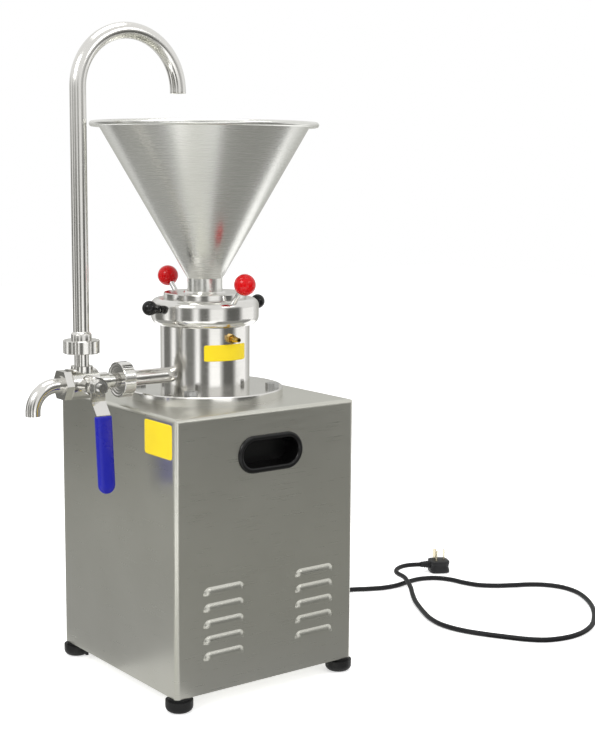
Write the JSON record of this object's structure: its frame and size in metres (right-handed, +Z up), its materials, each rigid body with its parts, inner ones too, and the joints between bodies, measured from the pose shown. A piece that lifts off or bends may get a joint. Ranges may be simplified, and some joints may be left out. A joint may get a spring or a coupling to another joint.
{
  "type": "colloid mill",
  "caption": "Bench colloid mill with stainless cabinet, feed hopper, adjusting ring with red ball levers, three-way ball valve, spout and arched return pipe.",
  "frame": {"origin": "on the floor, under the mill axis", "axes": "+Z up along the mill axis; the outlet, valve and spout point to -Y; the valve's lever hangs on the +X side"},
  "size_m": [0.4327, 0.9899, 0.917],
  "materials": {
    "cabinet_sheet": "satin brushed",
    "polished_stainless": "polished",
    "spun_stainless": "satin",
    "bright_bolts": "bright zinc",
    "black_rubber": "matt",
    "black_gloss": "gloss",
    "black_plastic": "satin",
    "cord_black": "satin",
    "red_gloss": "gloss",
    "blue_vinyl": "soft gloss",
    "nipple_brass": "turned",
    "pin_metal": "plain",
    "white_polymer": "natural",
    "motor_paint": "semi gloss",
    "machined_steel": "machined",
    "core_steel": "laminated",
    "winding_copper": "lacquered",
    "seal_ceramic": "lapped"
  },
  "bodies": {
    "frame": {"cabinet_shell": "cabinet_sheet", "bottom_pan": "cabinet_sheet", "rubber_feet": "black_rubber", "hand_grip_right": "black_gloss", "hand_grip_left": "black_gloss", "cable_gland": "black_plastic", "motor_plate": "motor_paint", "base_flange": "polished_stainless", "flange_bolts": "bright_bolts", "mill_body": "polished_stainless", "water_nipples": "nipple_brass", "outlet_pipe": "polished_stainless", "outlet_nut": "polished_stainless", "outlet_gasket": "white_polymer", "valve_body": "polished_stainless", "valve_cap": "polished_stainless", "valve_seats": "white_polymer", "stem_gland": "polished_stainless", "spout": "polished_stainless", "riser_nut": "polished_stainless", "riser_gasket": "white_polymer", "drain_tube": "white_polymer", "motor_barrel": "motor_paint", "motor_flange": "motor_paint", "rear_shield": "motor_paint", "stator_core": "core_steel", "windings": "winding_copper", "bearings": "machined_steel", "fan_cover": "motor_paint", "terminal_box": "motor_paint", "motor_bolts": "bright_bolts", "seal_seat": "seal_ceramic", "power_cord": "cord_black", "mains_plug": "black_plastic", "plug_pins": "pin_metal"},
    "spindle_body": {"spindle": "machined_steel", "grinding_rotor": "machined_steel", "impeller_nut": "machined_steel", "rotor_core": "core_steel", "cooling_fan": "black_plastic", "seal_head": "machined_steel"},
    "ring_body": {"adjusting_ring": "polished_stainless", "lever_rods": "bright_bolts", "lever_balls": "red_gloss"},
    "lock_front_body": {"lock_stud_front": "bright_bolts", "lock_knob_front": "black_gloss"},
    "lock_back_body": {"lock_stud_back": "bright_bolts", "lock_knob_back": "black_gloss"},
    "carrier_body": {"feed_plate": "polished_stainless", "grinding_stator": "machined_steel", "hopper": "spun_stainless", "stator_orings": "black_rubber"},
    "valve_lever_body": {"valve_ball": "machined_steel", "valve_stem": "polished_stainless", "valve_lever": "polished_stainless", "lever_sleeve": "blue_vinyl", "lever_nut": "bright_bolts"},
    "gooseneck_body": {"gooseneck": "polished_stainless"}
  },
  "joints": [
    {"name": "spindle_turn", "type": "hinge", "parent": "frame", "child": "spindle_body", "pos_m": [0, 0, 0.3], "axis": [0, 0, 1], "continuous": true},
    {"name": "ring_turn", "type": "hinge", "parent": "frame", "child": "ring_body", "pos_m": [0, 0, 0.521], "axis": [0, 0, 1], "range_deg": [0, 90]},
    {"name": "lock_front_turn", "type": "hinge", "parent": "ring_body", "child": "lock_front_body", "pos_m": [0, -0.077, 0.52705], "axis": [0, -0.9848, 0.1736], "range_deg": [0, 180]},
    {"name": "lock_back_turn", "type": "hinge", "parent": "ring_body", "child": "lock_back_body", "pos_m": [0, 0.077, 0.52705], "axis": [0, 0.9848, 0.1736], "range_deg": [0, 180]},
    {"name": "gap_slide", "type": "slide", "parent": "frame", "child": "carrier_body", "axis": [0, 0, 1], "range_m": [0, 0.001]},
    {"name": "valve_turn", "type": "hinge", "parent": "frame", "child": "valve_lever_body", "pos_m": [0, -0.2, 0.4335], "axis": [-1, 0, 0], "range_deg": [0, 90]},
    {"name": "pipe_swivel", "type": "hinge", "parent": "frame", "child": "gooseneck_body", "pos_m": [0, -0.2, 0.5], "axis": [0, 0, 1], "continuous": true}
  ],
  "couplings": [
    {"joint": "gap_slide", "follows": "ring_turn", "m_per_rad": 0.00063662}
  ]
}
